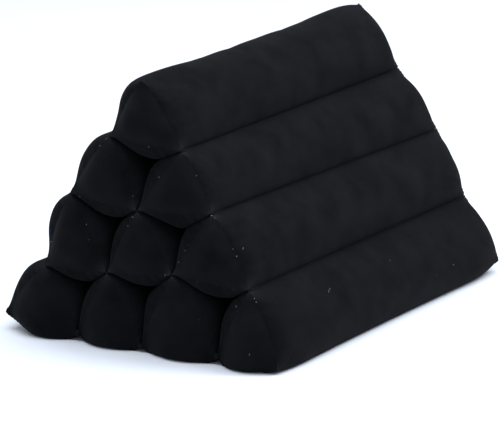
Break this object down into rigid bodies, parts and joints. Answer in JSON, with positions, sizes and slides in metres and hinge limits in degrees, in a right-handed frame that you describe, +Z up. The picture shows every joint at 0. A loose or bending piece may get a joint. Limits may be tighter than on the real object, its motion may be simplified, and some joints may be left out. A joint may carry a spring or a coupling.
{
  "type": "thai triangle cushion",
  "caption": "Wedge-shaped floor cushion and backrest of stuffed cloth tubes, sewn together along their corner seams with open triangles between them.",
  "frame": {"origin": "under the middle of the cushion's box, on the floor it rests on", "axes": "+X along the tubes, +Z up, -Y out of the front slope"},
  "size_m": [0.5158, 0.3606, 0.3019],
  "materials": {
    "black_cotton": "matte, tightly woven plain black cotton with a faint sheen"
  },
  "bodies": {
    "root": {"row1_tube1": "black_cotton", "row2_tube1": "black_cotton", "row2_tube2": "black_cotton", "row3_tube1": "black_cotton", "row3_tube2": "black_cotton", "row3_tube3": "black_cotton", "row4_tube1": "black_cotton", "row4_tube2": "black_cotton", "row4_tube3": "black_cotton", "row4_tube4": "black_cotton"}
  },
  "joints": []
}
